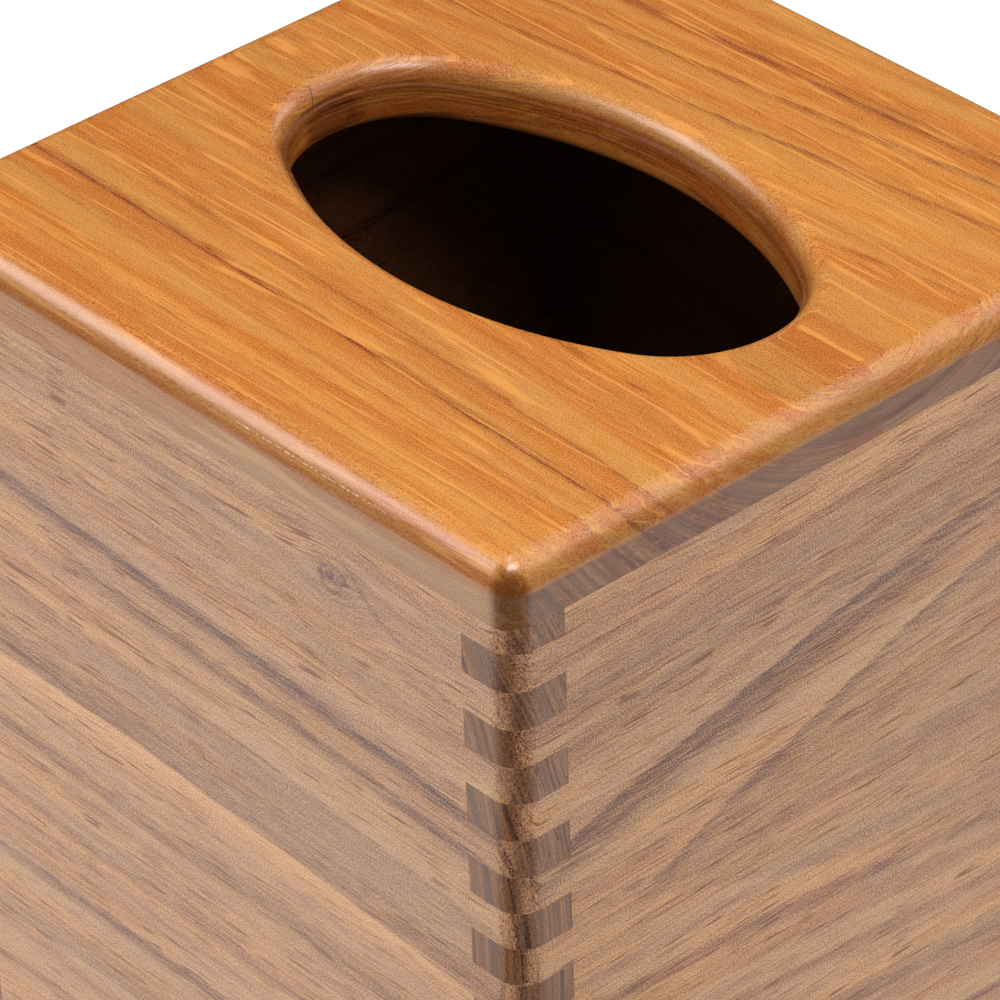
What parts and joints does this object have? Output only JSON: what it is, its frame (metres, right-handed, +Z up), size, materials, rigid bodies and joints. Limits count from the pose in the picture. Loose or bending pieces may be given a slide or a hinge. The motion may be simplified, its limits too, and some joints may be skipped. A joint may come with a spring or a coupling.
{
  "type": "tissue box cover",
  "caption": "Square wooden cover that drops over a carton of tissues, with finger-jointed walls and an oval slot in its lid.",
  "frame": {"origin": "middle of the square footprint, on the surface that the four walls stand on", "axes": "+Z up through the slot, +X along the grain of the lid and the long way of the slot, -Y out of the front wall"},
  "size_m": [0.14, 0.14, 0.1521],
  "materials": {
    "lid_teak": "oiled teak with a satin sheen, orange brown",
    "wall_teak": "oiled teak with a satin sheen, greyer than the lid",
    "side_teak": "oiled teak with a satin sheen, greyer and darker than the lid"
  },
  "bodies": {
    "root": {"lid_board": "lid_teak", "front_wall": "wall_teak", "back_wall": "wall_teak", "left_wall": "side_teak", "right_wall": "side_teak"}
  },
  "joints": []
}
